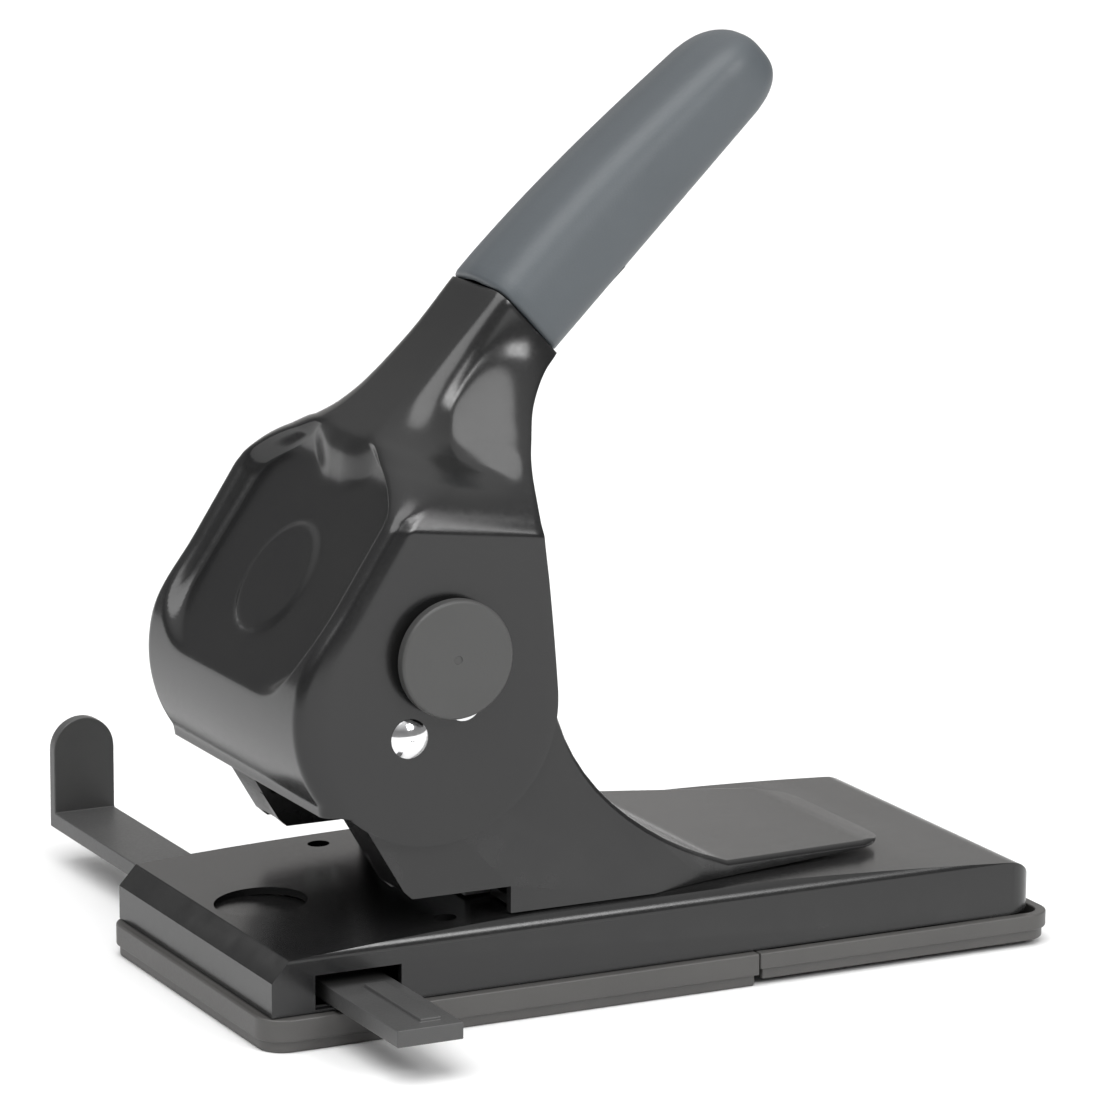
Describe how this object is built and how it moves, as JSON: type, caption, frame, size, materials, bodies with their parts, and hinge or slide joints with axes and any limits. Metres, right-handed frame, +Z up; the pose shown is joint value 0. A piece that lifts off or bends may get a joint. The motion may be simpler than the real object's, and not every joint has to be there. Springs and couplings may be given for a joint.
{
  "type": "lever hole punch",
  "caption": "Heavy-duty desk punch with a long lever handle, round hub, side caps, sliding paper guide and pull-out chip tray on a pressed steel base.",
  "frame": {"origin": "middle of the base plate's length and width, on the surface that the punch stands on", "axes": "+X towards the tail, where the handle comes down; -X towards the paper inlet; +Y across, towards the paper guide's stop; +Z up"},
  "size_m": [0.237, 0.2347, 0.2498],
  "materials": {
    "black_paint": "gloss",
    "dark_plastic": "satin",
    "guide_plastic": "satin",
    "grip_plastic": "satin",
    "cap_plastic": "satin",
    "rubber": "matte",
    "zinc": "satin",
    "raw_steel": "satin",
    "hard_steel": "polished",
    "spring_steel": "satin",
    "dark_steel": "satin",
    "chrome": "polished",
    "washer_plastic": "satin"
  },
  "bodies": {
    "base": {"base_plate": "black_paint", "rear_base": "dark_plastic", "rubber_feet": "rubber", "rear_base_screws": "zinc", "screw_posts": "raw_steel", "tray_runners": "raw_steel", "frame": "black_paint", "frame_rivets": "zinc", "die_rings": "raw_steel", "guide_block": "black_paint", "block_rivets": "black_paint", "punch_bushes": "dark_steel", "paper_stop": "raw_steel", "pivot_pin": "chrome", "pivot_end_cap": "chrome", "pivot_washers": "washer_plastic", "guide_saddle": "dark_plastic", "guide_spring": "spring_steel", "return_springs": "spring_steel"},
    "tray": {"chip_tray": "dark_plastic"},
    "paper_guide": {"guide_bar": "guide_plastic"},
    "punch_train": {"crosshead": "raw_steel", "punches": "hard_steel", "punch_clips": "spring_steel"},
    "lever": {"lever_shell": "black_paint", "grip": "grip_plastic", "grip_rivet": "grip_plastic", "cap_near": "cap_plastic", "cap_far": "cap_plastic", "tie_rod": "raw_steel", "tie_nuts": "zinc", "drive_pin": "chrome", "drive_end_cap": "chrome"}
  },
  "joints": [
    {"name": "lever_pivot", "type": "hinge", "parent": "base", "child": "lever", "pos_m": [-0.076, 0, 0.079], "axis": [0, 1, 0], "range_deg": [0, 55], "stiffness_Nm_per_rad": 0.6, "springref_deg": -49.85},
    {"name": "punch_slide", "type": "slide", "parent": "base", "child": "punch_train", "axis": [0, 0, -1], "range_m": [0, 0.01611], "deforming": ["return_springs"]},
    {"name": "guide_slide", "type": "slide", "parent": "base", "child": "paper_guide", "axis": [0, 1, 0], "range_m": [-0.06575, 0.0085]},
    {"name": "tray_slide", "type": "slide", "parent": "base", "child": "tray", "axis": [-1, 0, 0], "range_m": [0, 0.11]}
  ],
  "couplings": [
    {"joint": "punch_slide", "follows": "lever_pivot", "m_per_rad": 0.016781}
  ]
}
